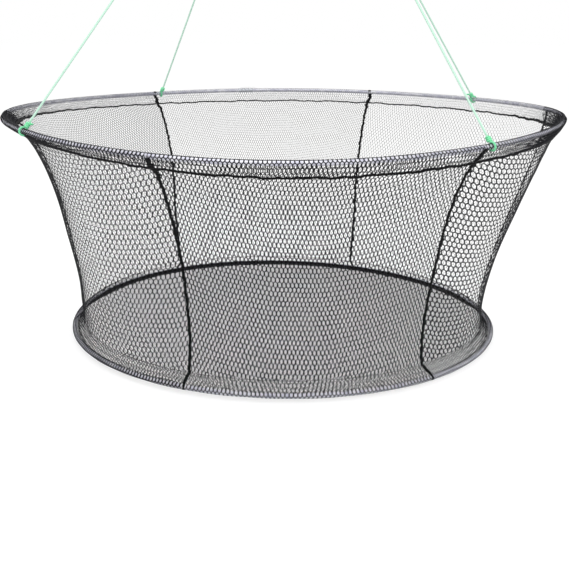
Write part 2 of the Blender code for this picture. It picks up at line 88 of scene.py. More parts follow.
def directly_seen(tree):
    """1 for the camera's own rays and those by gloss or through something clear, 0 for rays that only
    bring light. The floor and the room are white to the first and dimmer to the rest."""
    ray = add_node(tree, "ShaderNodeLightPath")
    seen = ray.outputs["Is Camera Ray"]
    for kind in ("Is Glossy Ray", "Is Transmission Ray"):
        both = {0: seen, 1: ray.outputs[kind]}
        seen = add_node(tree, "ShaderNodeMath", both, operation="ADD", use_clamp=True).outputs[0]
    return seen


FLOOR_Z, FLOOR_HALF = -0.8636, 9.0
floor_paint, tree = new_finish("white_studio_floor")
chalk = add_node(tree, "ShaderNodeBsdfDiffuse", {"Color": linear("#b4b4b4")})
glow = add_node(tree, "ShaderNodeEmission", {"Color": (1, 1, 1, 1), "Strength": 0.72})
bright = add_node(tree, "ShaderNodeAddShader", {0: chalk.outputs[0], 1: glow.outputs[0]})
plain = add_node(tree, "ShaderNodeBsdfDiffuse", {"Color": linear("#e6e6e6")})
mix = {0: directly_seen(tree), 1: plain.outputs[0], 2: bright.outputs[0]}
both = add_node(tree, "ShaderNodeMixShader", mix)
add_node(tree, "ShaderNodeOutputMaterial", {"Surface": both.outputs[0]})
ground = bpy.data.meshes.new("studio_floor")
corners = [(x * FLOOR_HALF, y * FLOOR_HALF, FLOOR_Z) for x, y in ((-1, -1), (1, -1), (1, 1), (-1, 1))]
ground.from_pydata(corners, [], [(0, 1, 2, 3)])
ground.materials.append(floor_paint)
studio_floor = bpy.data.objects.new("studio_floor", ground)
bpy.context.scene.collection.objects.link(studio_floor)

room = bpy.data.worlds.new("white_room")
bpy.context.scene.world = room
room.use_nodes = True
tree = room.node_tree
tree.nodes.clear()
walls = add_node(tree, "ShaderNodeBackground", {"Color": (1, 1, 1, 1), "Strength": 0.62})
white = add_node(tree, "ShaderNodeBackground", {"Color": (1, 1, 1, 1), "Strength": 1.0})
mix = {0: directly_seen(tree), 1: walls.outputs[0], 2: white.outputs[0]}
both = add_node(tree, "ShaderNodeMixShader", mix)
add_node(tree, "ShaderNodeOutputWorld", {"Surface": both.outputs[0]})

for name, place, aim, size, power in (
    ("ceiling_softbox", (-0.35, -0.55, 1.55), (0.0, 0.0, -0.65), 1.8, 20.0),
    ("front_softbox", (0.9, -2.0, 0.25), (0.0, 0.0, -0.65), 1.2, 7.0),
):
    lamp = bpy.data.lights.new(name, "AREA")
    lamp.energy = power
    lamp.size = size
    holder = bpy.data.objects.new(name, lamp)
    holder.location = place
    way = np.array(aim) - np.array(place)
    tilt = math.atan2(math.hypot(way[0], way[1]), -way[2])
    holder.rotation_euler = (tilt, 0.0, math.atan2(way[0], -way[1]) + math.pi)
    holder.visible_camera = False
    bpy.context.scene.collection.objects.link(holder)


# The two hoops: round spring wire with a smooth lavender-grey plastic coat. The upper one is 0.8 m across
# and sits a little bent, because four cords pull it up; the lower one is 0.64 m across and hangs askew.
UP = np.array([0.0, 0.0, 1.0])
TOP_RADIUS, BOTTOM_RADIUS = 0.400, 0.320
TOP_Z, BOTTOM_Z = -0.540, -0.854
SADDLE, THREEFOLD, ASKEW, DIP = 0.0048, 0.0027, 0.0060, 0.0024
DIP_TURN = math.radians(-55.0)
WIRE_RADIUS = 0.0030


def top_lift(turn):
    """The upper hoop's height over its mean plane: SADDLE cos 2t - THREEFOLD sin 3t, so that it is highest
    at its right and left and lowest at the front."""
    return SADDLE * np.cos(2.0 * turn) - THREEFOLD * np.sin(3.0 * turn)


def low_lift(turn):
    """The lower hoop's height: -ASKEW cos t (1 + sin t) / 2, up at the back left and down at the back
    right, less a dip of DIP cos^4 (t - DIP_TURN) at the front right."""
    dip = DIP * np.clip(np.cos(turn - DIP_TURN), 0.0, 1.0) ** 4
    return -ASKEW * np.cos(turn) * (1.0 + np.sin(turn)) / 2.0 - dip


def make_piece(name, points, faces, material, uv=None):
    """A mesh from whole arrays: points is (n, 3), faces a list of (count, corners) arrays, and uv one row a
    corner."""
    mesh = bpy.data.meshes.new(name)
    points = np.asarray(points, np.float32).reshape(-1, 3)
    sizes = np.concatenate([np.full(len(f), f.shape[1]) for f in faces]).astype(np.int32)
    corners = np.concatenate([np.asarray(f).ravel() for f in faces]).astype(np.int32)
    mesh.vertices.add(len(points))
    mesh.vertices.foreach_set("co", points.ravel())
    mesh.loops.add(len(corners))
    mesh.loops.foreach_set("vertex_index", corners)
    mesh.polygons.add(len(sizes))
    mesh.polygons.foreach_set("loop_start", np.concatenate([[0], np.cumsum(sizes)[:-1]]).astype(np.int32))
    mesh.update(calc_edges=True)
    mesh.polygons.foreach_set("use_smooth", np.ones(len(sizes), bool))
    if uv is not None:
        mesh.uv_layers.new(name="lay").data.foreach_set("uv", np.asarray(uv, np.float32).ravel())
    mesh.validate()
    mesh.materials.append(material)
    made = bpy.data.objects.new(name, mesh)
    bpy.context.scene.collection.objects.link(made)
    return made


def grid_faces(rows, columns, closed=False):
    """Faces between neighbours of a grid whose columns run round it, wound so that they face out. closed
    joins the last row to the first; otherwise each end has one flat cap. The UV is (share of the turn, row
    number)."""
    j, i = np.meshgrid(np.arange(rows if closed else rows - 1), np.arange(columns), indexing="ij")
    j, i = j.ravel(), i.ravel()
    k, n = (j + 1) % rows, (i + 1) % columns
    quads = np.stack([j * columns + i, j * columns + n, k * columns + n, k * columns + i], 1)
    corners = ((i, j), (i + 1, j), (i + 1, j + 1), (i, j + 1))
    uv = np.stack([np.stack(corner, 1) for corner in corners], 1)
    uv = (uv / [columns, 1.0]).reshape(-1, 2)
    if closed:
        return [quads], uv
    caps = np.stack([np.arange(columns)[::-1], (rows - 1) * columns + np.arange(columns)])
    rim = np.arange(columns) / columns
    ends = np.concatenate([np.stack([rim[::-1], 0 * rim], 1), np.stack([rim, 0 * rim + rows - 1], 1)])
    return [quads, caps], np.concatenate([uv, ends])


def hoop_frame(turn, radius, height, lift):
    """A hoop's centre line at the angles turn, and its directions away from the axis and along the wire."""
    centre = np.stack([radius * np.cos(turn), radius * np.sin(turn), height + lift(turn)], 1)
    away = np.stack([np.cos(turn), np.sin(turn), 0 * turn], 1)
    along = np.stack([-np.sin(turn), np.cos(turn), 0 * turn], 1)
    return centre, away, along


def hoop_tube(turn, radius, height, lift, thick, sides):
    """Circles of radius thick, square to the wire, at each angle of turn. Each is its centre + thick times
    (away cos t + up sin t)."""
    centre, away, _ = hoop_frame(turn, radius, height, lift)
    t = -2.0 * np.pi * np.arange(sides) / sides
    ring = away[:, None] * np.cos(t)[None, :, None] + UP * np.sin(t)[None, :, None]
    return centre[:, None] + ring * np.broadcast_to(thick, turn.shape)[:, None, None]


def speckles(tree, scale, detail):
    """Fine noise that sticks to the piece: from 0 to 1, scale spots a metre."""
    lay = add_node(tree, "ShaderNodeTexCoord")
    noise = {"Vector": lay.outputs["Object"], "Scale": scale, "Detail": detail}
    return add_node(tree, "ShaderNodeTexNoise", noise).outputs["Fac"]


def two_tones(tree, share, low, high):
    """A colour that turns from low's to high's as share grows. Each is (share, hex colour)."""
    ramp = add_node(tree, "ShaderNodeValToRGB", {"Fac": share})
    for stop, (position, colour) in zip(ramp.color_ramp.elements, (low, high)):
        stop.position, stop.color = position, linear(colour)
    return ramp.outputs["Color"]


def dented(tree, height, strength, distance):
    """The surface's normal over bumps of the given height."""
    bump = {"Height": height, "Strength": strength, "Distance": distance}
    return add_node(tree, "ShaderNodeBump", bump).outputs["Normal"]


def surface(tree, sockets):
    """Ends a finish with one principled shader of these sockets."""
    skin = add_node(tree, "ShaderNodeBsdfPrincipled", sockets)
    add_node(tree, "ShaderNodeOutputMaterial", {"Surface": skin.outputs[0]})


# Spring wire under a pearly lavender-grey coat: half of its light comes back as from metal flakes, the rest
# as from paint, and the net has rubbed it to a slightly uneven gloss.
coated_wire, tree = new_finish("pearl_coated_spring_wire")
scuffs = speckles(tree, 90.0, 5.0)
rubbed = {"Value": scuffs, "From Min": 0.3, "From Max": 0.7, "To Min": 0.28, "To Max": 0.46}
surface(tree, {
    "Base Color": two_tones(tree, scuffs, (0.38, "#c9c9d8"), (0.66, "#ececf2")),
    "Metallic": 0.5,
    "IOR": 1.53,
    "Roughness": add_node(tree, "ShaderNodeMapRange", rubbed).outputs[0],
    "Normal": dented(tree, scuffs, 0.12, 0.0004),
})

# Drawn steel tube, zinc plated and crimped: a dull bluish metal, uneven in tone and gloss.
plated_tube, tree = new_finish("zinc_plated_steel_tube")
bloom = speckles(tree, 420.0, 4.0)
dulled = {"Value": bloom, "To Min": 0.25, "To Max": 0.55}
surface(tree, {
    "Base Color": two_tones(tree, bloom, (0.35, "#b4b8c0"), (0.70, "#dadce2")),
    "Metallic": 1.0,
    "Roughness": add_node(tree, "ShaderNodeMapRange", dulled).outputs[0],
})

FERRULE_RADIUS, FERRULE_LENGTH = 0.0041, 0.026
CRIMP_DEPTH, CRIMP_WIDTH, LIP = 0.00055, 0.0015, 0.0002
WIRE_STATIONS, WIRE_SIDES = 360, 16
TUBE_STATIONS, TUBE_SIDES = 66, 20
hoops = {
    "top": (TOP_RADIUS, TOP_Z, top_lift, math.radians(100.25)),
    "bottom": (BOTTOM_RADIUS, BOTTOM_Z, low_lift, math.radians(40.25)),
}
for side, (radius, height, lift, joint) in hoops.items():
    turn = np.linspace(0.0, 2.0 * np.pi, WIRE_STATIONS, endpoint=False)
    faces, uv = grid_faces(WIRE_STATIONS, WIRE_SIDES, closed=True)
    round_wire = hoop_tube(turn, radius, height, lift, WIRE_RADIUS, WIRE_SIDES)
    wire = make_piece(f"{side}_wire", round_wire, faces, coated_wire, uv)
    # the tube's radius along its length, s: flared lips, three crimps that press it down, and ends that
    # close on the wire
    s = np.linspace(-0.5, 0.5, TUBE_STATIONS)
    crimps = sum(np.exp(-(((s - at) * FERRULE_LENGTH / CRIMP_WIDTH) ** 2)) for at in (-0.27, 0.0, 0.27))
    thick = FERRULE_RADIUS - CRIMP_DEPTH * crimps - LIP * (np.abs(s) < 0.44)
    thick[[0, -1]] = WIRE_RADIUS
    s[[1, -2]] = s[[0, -1]]
    faces, uv = grid_faces(TUBE_STATIONS, TUBE_SIDES)
    crimped = hoop_tube(joint + s * FERRULE_LENGTH / radius, radius, height, lift, thick, TUBE_SIDES)
    tube = make_piece(f"{side}_crimped_tube", crimped, faces, plated_tube, uv)
    for piece, slot in ((wire, "wire"), (tube, "ferrule")):
        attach(piece, f"{side}_hoop")
    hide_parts(f"{side}_hoop_wire")
    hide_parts(f"{side}_hoop_ferrule")


# The netting: black polyester yarn, machine-knitted without knots into tall six-sided gaps. Two yarns run
# side by side in the upright strands, and one in each slanting strand, so that these are thinner.
POINT_SHARE, SHOULDER_SHARE = 0.66, 0.34  # a gap's tips and shoulders from its middle, as shares of the pitch
PAST_BORDER = 0.22  # how far past the border a gap's middle may lie, as a share of its width or pitch
TOWARDS_EDGE = 0.85  # a pulled gap is made where this share of the way to its inner edge is inside
BORDER_STRAND = 0.4  # how much of half a strand is left along a net's first and last row
PULL_LIMIT, PULL_EASE = 1.39, 0.6  # uprights widen with the pull up to this, then by its power 1 - PULL_EASE
SMALLEST_SPAN = 2e-9  # smaller faces, of gaps pressed flat on the border, are left out
CORNERS = 4096  # more corners than lie on either side of a net's middle
WHOLE = (-1.0, 99.0)  # the strip that has all of a net's rows

# Dyed textured polyester: nearly black with a dull sheen, and a fine uneven twist in its highlight.
black_net, tree = new_finish("black_knitted_polyester_net")
fibres = speckles(tree, 1400.0, 2.0)
surface(tree, {
    "Base Color": two_tones(tree, fibres, (0.35, "#060609"), (0.75, "#13141e")),
    "Roughness": 0.70,
    "IOR": 1.54,
    "Specular IOR Level": 0.18,
    "Sheen Weight": 0.04,
    "Sheen Roughness": 0.5,
    "Normal": dented(tree, fibres, 0.4, 0.0002),
})


def netting(width, pitch, half, slant, yarn, length, half_width, bow, place, spread=None, strip=WHOLE,
            thicker=None, drift=0.0004):
    """A net of six-sided gaps, width apart in a row and pitch apart row by row, each row shifted by half a
    gap. Gap (column, row) is centred at u = column width, v = row pitch - bow u squared, so that the rows
    arch; where the net is pulled wider, spread(distance across the slack net, v) is u. A gap's six corners
    are ridges of the yarn, shared with its neighbours, with one point on each face of the net; inside them
    lie the six corners of the open gap, half a strand away: half for an upright one and slant for a
    slanting one. Points past the border |u| = half_width(v), v = 0 and v = length are brought back to it,
    which leaves slim strands along v = 0 and v = length. place(u, v, h) puts them in the frame, h out from
    the net, whose yarn is yarn thick. Only rows with v inside strip are made. thicker(v) is how many times
    wider the strands are there, and drift is how far two waves each way shift the gaps, so that no row is
    quite straight. Gives points and faces."""
    wide = float(np.max(half_width(np.linspace(0.0, length, 9))))
    columns = int((1.0 if spread is None else 1.6) * wide / width) + 2
    rows = np.arange(-2, int((length + bow * wide**2) / pitch) + 3)
    column, row = (a.ravel() for a in np.meshgrid(np.arange(-columns, columns + 1), rows))
    step = 2 * column + row % 2

    def across(slack, v):
        """Where a point of the slack net lies. spread takes the arched v, which takes u, so that both are
        settled in eight rounds."""
        if spread is None:
            return slack, v - bow * slack**2
        u = spread(slack, v)
        for _ in range(8):
            u = spread(slack, np.maximum(v - bow * u**2, 0.0))
        return u, v - bow * u**2

    def lie(slack, v, inset):
        u, v = across(slack, v)
        u = u + drift * np.sin(u * 71.0 + v * 23.0) + drift * np.sin(v * 113.0 + 1.3)
        v = v + drift * np.sin(u * 97.0 + 0.7) + drift * np.sin(v * 83.0 - u * 41.0)
        v = np.clip(v, BORDER_STRAND * inset, length - BORDER_STRAND * inset)
        edge = half_width(v) - inset
        return np.clip(u, -edge, edge), v

    u, v = across(step * width / 2, row * pitch)
    # a gap is made where its middle, or in a pulled net a place near its inner edge, lies inside the border
    near, pull = np.abs(u) - PAST_BORDER * width, np.ones_like(u)
    if spread is not None:
        sides = ((step + side) * width / 2 for side in (-TOWARDS_EDGE, TOWARDS_EDGE))
        left, right = (across(slack, row * pitch)[0] for slack in sides)
        near, pull = np.minimum(np.abs(left), np.abs(right)), (right - left) / (TOWARDS_EDGE * width)
    keep = (v > -PAST_BORDER * pitch) & (v < length + PAST_BORDER * pitch) & (near < half_width(v))
    keep &= (v >= strip[0]) & (v < strip[1])
    step, row, v, pull = step[keep], row[keep], v[keep], pull[keep]
    cells = len(step)
    # each ridge corner's column, row and kind as one number, so that neighbouring gaps share it
    corner_step = step[:, None] + [0, 1, 1, 0, -1, -1]
    corner_row = row[:, None] + [0, 0, -1, -1, -1, 0]
    corner_kind = np.broadcast_to([0, 1, 0, 1, 0, 1], (cells, 6))
    code = ((corner_step + CORNERS) * 2 * CORNERS + corner_row + CORNERS) * 2 + corner_kind
    code, ridge = np.unique(code, return_inverse=True)
    ridge = ridge.reshape(cells, 6)
    kind, place_row = code % 2, code // 2 % (2 * CORNERS) - CORNERS
    place_step = code // (4 * CORNERS) - CORNERS
    share = np.where(kind == 0, POINT_SHARE, SHOULDER_SHARE)
    ridge_u, ridge_v = lie(place_step * width / 2, (place_row + share) * pitch, 0.0)
    fall = pitch * (POINT_SHARE - SHOULDER_SHARE)
    slope = math.hypot(fall, width / 2) / (width / 2)
    swell = (np.ones_like(v) if thicker is None else thicker(v))[:, None]
    upright = half * swell * np.minimum(1.0, (PULL_LIMIT / np.maximum(pull, 0.5)) ** PULL_EASE)[:, None]
    tip = pitch * POINT_SHARE - slant * swell * slope
    shoulder = pitch * SHOULDER_SHARE + fall * upright / (width / 2) - slant * swell * slope
    reach = (width / 2 - upright) * [0, 1, 1, 0, -1, -1]
    rise = np.concatenate([tip, shoulder, -shoulder, -tip, -shoulder, shoulder], 1)
    gap_u, gap_v = lie(step[:, None] * width / 2 + reach, row[:, None] * pitch + rise, half)
    points = np.concatenate([place(ridge_u, ridge_v, yarn / 2), place(ridge_u, ridge_v, -yarn / 2),
                             place(gap_u.ravel(), gap_v.ravel(), 0.0)])
    count = len(code)
    gap = 2 * count + np.arange(cells * 6).reshape(cells, 6)
    after, gap_after = np.roll(ridge, -1, 1), np.roll(gap, -1, 1)
    front = np.stack([ridge, after, gap_after, gap], 2).reshape(-1, 4)
    back = np.stack([after + count, ridge + count, gap, gap_after], 2).reshape(-1, 4)
    edges = np.stack([ridge.ravel(), after.ravel()], 1)
    pair = np.sort(edges, 1)
    pair = pair[:, 0] * count + pair[:, 1]
    _, first, uses = np.unique(pair, return_index=True, return_counts=True)
    rim = edges[first[uses == 1]]
    side = np.stack([rim[:, 1], rim[:, 0], rim[:, 0] + count, rim[:, 1] + count], 1)
    faces = np.concatenate([front, back, side])
    spans = np.cross(points[faces[:, 2]] - points[faces[:, 0]], points[faces[:, 3]] - points[faces[:, 1]])
    return points, [faces[np.linalg.norm(spans, axis=1) > SMALLEST_SPAN]]


# The wall: six net panels cut as strips of a cone and hung between the hoops. They leave the upper hem
# leaning inwards, curve down and end nearly upright at the lower hem. A panel's rows are straight on the
# flat net, so that on the cone they arch: they are lowest at the panel's middle.
PANELS, SEAM_PHASE, SEAM_HALF = 6, math.radians(6.5), 0.0012
PANEL_TURN = math.radians(60.0)
NET_HEIGHT = TOP_Z - BOTTOM_Z
HEM_LENGTH, EDGE_GAP = 0.0204, 0.0008
HEM_SLOPE = {"top": math.radians(243.5), "bottom": math.radians(135.0)}


def run_along(path):
    """The distance along a path from its first point to each of its points."""
    return np.concatenate([[0.0], np.cumsum(np.linalg.norm(np.diff(path, axis=0), axis=1))])


reach = HEM_LENGTH + EDGE_GAP
ways = {side: np.array([math.cos(slope), math.sin(slope)]) for side, slope in HEM_SLOPE.items()}
head = (TOP_RADIUS, 0.0) + reach * ways["top"]
foot = (BOTTOM_RADIUS, -NET_HEIGHT) + reach * ways["bottom"]
# the wall's section is a cubic curve from head to foot, drawn towards these two points
pulls = head - (0.0255, 0.0095), foot - (0.0035, -0.090)
t = np.linspace(0.0, 1.0, 400)[:, None]
wall_line = (1 - t) ** 3 * head + 3 * (1 - t) ** 2 * t * pulls[0]
wall_line = wall_line + 3 * (1 - t) * t**2 * pulls[1] + t**3 * foot
wall_reach = run_along(wall_line)
WALL_LENGTH = float(wall_reach[-1])
wall_way = np.gradient(wall_line, wall_reach, axis=0)


# The net doesn't hang quite true: its upper part is drawn in by 10 mm at the left and bellies out as far at
# the right. These are the shifts away from the axis, given in millimetres, at the distances down the wall.
LEAN_DOWN = np.array([0.0, 0.012, 0.03, 0.06, 0.09, 0.12, 0.16, 0.20, 0.24, 0.27, 0.30])
LEAN_LEFT = np.array([-5.7, -9.5, -10.5, -10.0, -8.5, -6.5, -3.0, -1.2, 0.0, 2.0, 1.0]) / 1000.0
LEAN_RIGHT = np.array([0.5, 4.0, 7.5, 9.5, 9.0, 7.5, 4.5, 2.0, 0.0, -1.0, 0.0]) / 1000.0
LEFT_TURN, RIGHT_TURN = math.radians(190.0), math.radians(-10.0)
HEM_TUCK = math.radians(-28.0)  # the upper hem's turn about its wire, inwards and up, at the left
TUCK_RISE, TUCK_FADE = 0.006, 0.02  # how far the wall's head rises with it, and how soon that fades downwards
# Each seam's drift round the hoops, in degrees, at the distances down the wall and on the hems past it.
DRIFT_DOWN = np.array([-0.02, 0.0, 0.05, 0.10, 0.15, 0.20, 0.25, 0.30, 0.32])
SEAM_DRIFT = np.array([
    [0.0, -4.5, -9.5, -11.0, -11.5, -11.5, -10.0, -7.0, -6.0],
    [0.0, 0.2, 0.2, 0.1, -0.1, -0.7, -0.8, -0.4, -0.2],
    [-1.2, -0.9, -1.0, -0.8, 0.0, 1.1, 1.3, 0.8, 0.3],
    [0.0, 0.0, 0.0, 0.0, 0.0, 0.0, 0.0, 0.0, 0.0],
    [1.1, 1.0, 1.1, 1.3, 1.5, 1.2, 0.9, 0.1, 0.2],
    [-0.8, -1.5, -2.4, -2.1, -1.1, -0.5, 0.1, 0.8, 1.6],
])


def side_shares(turn):
    """How much of the left and of the right side's lean a place at the angle turn has, from 0 to 1."""
    return tuple(np.clip(np.cos(turn - side), 0.0, 1.0) ** 1.5 for side in (LEFT_TURN, RIGHT_TURN))


def drifted(turn, down):
    """The angle turn with its nearest seams' drift, which fades evenly from one seam to the next."""
    seam = ((turn - SEAM_PHASE) / (2.0 * np.pi) % 1.0) * PANELS
    before, share = seam.astype(int) % PANELS, seam % 1.0
    level = np.interp(down, DRIFT_DOWN, np.arange(len(DRIFT_DOWN)))
    low = np.minimum(level.astype(int), len(DRIFT_DOWN) - 2)
    part = level - low
    pair = before, (before + 1) % PANELS
    here, there = (SEAM_DRIFT[i, low] * (1 - part) + SEAM_DRIFT[i, low + 1] * part for i in pair)
    return turn + np.radians(here * (1.0 - share) + there * share)


def seam_drift(number, down):
    """One seam's drift at the distances down, in radians."""
    return np.radians(np.interp(down, DRIFT_DOWN, SEAM_DRIFT[number % PANELS]))


def wall_radius(down):
    """The wall's distance from the axis at the distances down, without its lean."""
    return np.interp(down, wall_reach, wall_line[:, 0])


def wall_place(turn, down, out):
    """A point of the wall: down metres along its section from the upper hem, at the angle turn, out from
    it. The upper hoop's saddle fades to nothing at the lower hoop, and each side has its share of the
    lean."""
    turn = drifted(turn, down)
    left, right = side_shares(turn)
    r, z = wall_radius(down), np.interp(down, wall_reach, wall_line[:, 1])
    lean, drop = (np.interp(down, wall_reach, wall_way[:, i]) for i in (0, 1))
    lift = top_lift(turn) * (1.0 + z / NET_HEIGHT) - low_lift(turn) * z / NET_HEIGHT
    z = z + lift + out * lean + TUCK_RISE * left * np.exp(-down / TUCK_FADE)
    r = r - out * drop + left * np.interp(down, LEAN_DOWN, LEAN_LEFT)
    r = r + right * np.interp(down, LEAN_DOWN, LEAN_RIGHT)
    return np.stack([r * np.cos(turn), r * np.sin(turn), TOP_Z + z], 1)


# Each panel's gap width and row pitch, half the width of its upright and slanting strands, and its
# thickness. The three far panels' netting is finer.
PANEL_GAPS = (
    (0.0038, 0.0046, 0.00030, 0.00019, 0.00030),
    (0.0038, 0.0046, 0.00037, 0.00024, 0.00030),
    (0.0031, 0.0037, 0.00044, 0.00030, 0.00030),
    (0.00525, 0.0070, 0.00070, 0.00051, 0.0008),
    (0.00525, 0.0070, 0.00084, 0.00062, 0.0008),
    (0.00525, 0.0067, 0.00103, 0.00077, 0.0008),
)
# the hems' strands as a share of their panels', for each panel, on the straight runs and round the wires
HEM_STRANDS = {"top": ((0.60, 0.60, 0.60, 1.06, 0.80, 0.58), (0.70, 0.60, 0.75, 1.46, 0.90, 0.74)),
               "bottom": ((0.34, 0.45, 0.40, 0.61, 0.54, 0.33), (0.60, 0.60, 0.60, 1.94, 1.05, 0.58))}
ROW_BOW = 0.95  # how far a panel's rows arch: v falls by this times u squared
RIPPLE, MEAN_RADIUS = 0.0009, 0.34  # the height of the wall's ripples, and its radius halfway down
# the far side panels' netting is pulled wider the nearer it is to the object's left or right: the gaps'
# width as seen from the front, and the widest that they are pulled
PULLED = {0: (0.0026, 0.007), 2: (0.0021, 0.005)}
# the near side panels' netting is pulled wider too, and hangs plumb: where one plumb column lies, in x, the
# gaps' width as seen from the front, and the widest that they are pulled
PLUMB = {3: (-0.170, 0.0066, 0.0098), 5: (0.215, 0.0069, 0.0104)}
PERSPECTIVE = 0.14  # how much further out a plumb column's x is at its foot, as a share
SPLIT_PANEL, SPLIT_DOWN = 2, 0.148


def panel_middle(panel):
    """The angle of a panel's middle."""
    return SEAM_PHASE + (panel + 0.5) * PANEL_TURN


def pulled_width(turn, seen):
    """How wide the gaps are pulled at the angle turn to look seen wide from the front: seen over the sine
    of the turn, times 1 at the front, 1.28 at the sides and 1.56 at the back, further from the eye."""
    return seen * (1.0 + 0.28 * (1.0 + np.sin(turn))) / np.maximum(np.abs(np.sin(turn)), 0.1)


def pulled_wide(middle, width, pulled, most):
    """Where a far side panel's slack net lies: each gap is as wide as pulled_width says, at most most, and
    the widths are summed from the panel's middle. Gives a function of the distances across the slack net
    and down."""
    across = np.linspace(-0.3, 0.3, 601)
    turn = middle + across / MEAN_RADIUS
    share = width / np.clip(pulled_width(turn, pulled), width, most)
    slack = np.concatenate([[0.0], np.cumsum((share[1:] + share[:-1]) / 2 * np.diff(across))])
    slack = slack - np.interp(0.0, across, slack)
    return lambda distance, down: np.interp(distance, slack, across)


def plumb_columns(panel, width, anchor, seen, most):
    """Where a near side panel's slack net lies, so that its columns of gaps hang plumb while its seams
    slant. Each gap is as wide as pulled_width says, at most most, and a little less towards the foot. The
    widths are summed from the column at x = anchor, which moves outwards on the way down. The seams' drift
    is taken off, because wall_place adds it. Gives a function of the distances across the slack net and
    down."""
    start = SEAM_PHASE + panel * PANEL_TURN
    down = np.linspace(0.0, WALL_LENGTH, 61)
    turn = start + np.radians(np.linspace(-15.0, 75.0, 901))
    far = (1.0 + PERSPECTIVE * down / WALL_LENGTH)[:, None]
    slim = np.interp(down, [0.10, 0.20, 0.28], [1.0, 0.90, 0.86])[:, None]
    wide = np.clip(pulled_width(turn, seen * slim), width, most)
    share = width / wide * wall_radius(down)[:, None]
    slack = np.cumsum(share, axis=1) * (turn[1] - turn[0])
    first = 2.0 * np.pi - np.arccos(np.clip(anchor * far[:, 0] / wall_radius(down), -1.0, 1.0))
    steps = np.linspace(-0.5, 0.5, 1001)
    table = np.stack([
        np.interp(steps + np.interp(middle, turn, row), row, turn) for row, middle in zip(slack, first)
    ])
    here, there = (seam_drift(number, down)[:, None] for number in (panel, panel + 1))
    table = start + (table - start - here) / (1.0 + (there - here) / PANEL_TURN)
    table = (table - start - PANEL_TURN / 2) * wall_radius(down)[:, None]

    def lookup(distance, at):
        """The table's value between its four nearest places."""
        i = np.clip(at / WALL_LENGTH, 0.0, 1.0) * (len(down) - 1.001)
        j = np.clip(distance - steps[0], 0.0, 1.0) * (len(steps) - 1.001)
        low, left = i.astype(int), j.astype(int)
        i, j = i - low, j - left
        upper = table[low, left] * (1 - j) + table[low, left + 1] * j
        lower = table[low + 1, left] * (1 - j) + table[low + 1, left + 1] * j
        return upper * (1 - i) + lower * i

    return lookup


for panel, (width, pitch, half, slant, yarn) in enumerate(PANEL_GAPS):
    middle = panel_middle(panel)
    spread = pulled_wide(middle, width, *PULLED[panel]) if panel in PULLED else None
    spread = plumb_columns(panel, width, *PLUMB[panel]) if panel in PLUMB else spread

    def half_width(down):
        return wall_radius(down) * PANEL_TURN / 2 - SEAM_HALF

    def place(u, v, h):
        loose = np.sin(np.pi * v / WALL_LENGTH)
        ripple = RIPPLE * loose * np.sin(u * 47.0 + panel) * np.sin(v * 31.0 + 2.0 * panel)
        return wall_place(middle + u / wall_radius(v), v, h + ripple)

    # the finest panel has so many gaps that it is made in two strips, which meet in the middle of strands
    strips = ((WHOLE[0], SPLIT_DOWN), (SPLIT_DOWN, WHOLE[1])) if panel == SPLIT_PANEL else (WHOLE,)
    for part, strip in zip(("", "_lower"), strips):
        points, faces = netting(width, pitch, half, slant, yarn, WALL_LENGTH, half_width, ROW_BOW, place,
                                spread=spread, strip=strip)
        net = make_piece(f"wall_net_{panel + 1}{part}", points, faces, black_net)
        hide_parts(f"wall_panel_{panel + 1}")
        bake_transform(net)


# The hems: each panel's net is folded round its wire and sewn to itself 20 mm away, so that two layers of
# netting close on each other below the upper wire and above the lower one.
POCKET_RADIUS = WIRE_RADIUS + 0.0007
BELLY, LAYER_GAP = 0.0011, 0.0005  # how far the layers belly out, and how far the stitches hold them apart
SWELL_END, SWELL_FADE = 0.003, 0.005  # how far the ferrule's swelling reaches past its ends, and down the hem
LOW_HEM_YARN = 0.0005
CROSS_PITCH = 0.94  # the upper hem's row pitch over its panel's, so that its two layers' rows cross
WOUND_SPREAD = 0.009  # how far from the hem's middle its strands are those wound round the wire


def pocket_line(slope):
    """A hem's section round its wire, as (out, up): from the stitches straight to the wire, round it, and
    straight back. The straight runs touch the wire's circle, and the netting bellies out between."""
    side = math.acos(POCKET_RADIUS / HEM_LENGTH)
    t = np.linspace(0.0, 1.0, 60)[:, None]
    edge = HEM_LENGTH * np.array([math.cos(slope), math.sin(slope)])
    square = np.array([-math.sin(slope), math.cos(slope)])
    a = np.linspace(slope + side, slope - side + 2.0 * np.pi, 80)[:, None]
    touch = POCKET_RADIUS * np.array([[math.cos(x), math.sin(x)] for x in (slope + side, slope - side)])
    belly = BELLY * np.sin(np.pi * t**0.8)
    leave = edge + LAYER_GAP * square * (1 - t) + (touch[0] - edge) * t + belly * square
    come = touch[1] + (edge - touch[1]) * t - LAYER_GAP * square * t - belly[::-1] * square
    line = np.concatenate([leave[:-1], POCKET_RADIUS * np.concatenate([np.cos(a), np.sin(a)], 1), come[1:]])
    run = run_along(line)
    return run, line, np.gradient(line, run, axis=0)


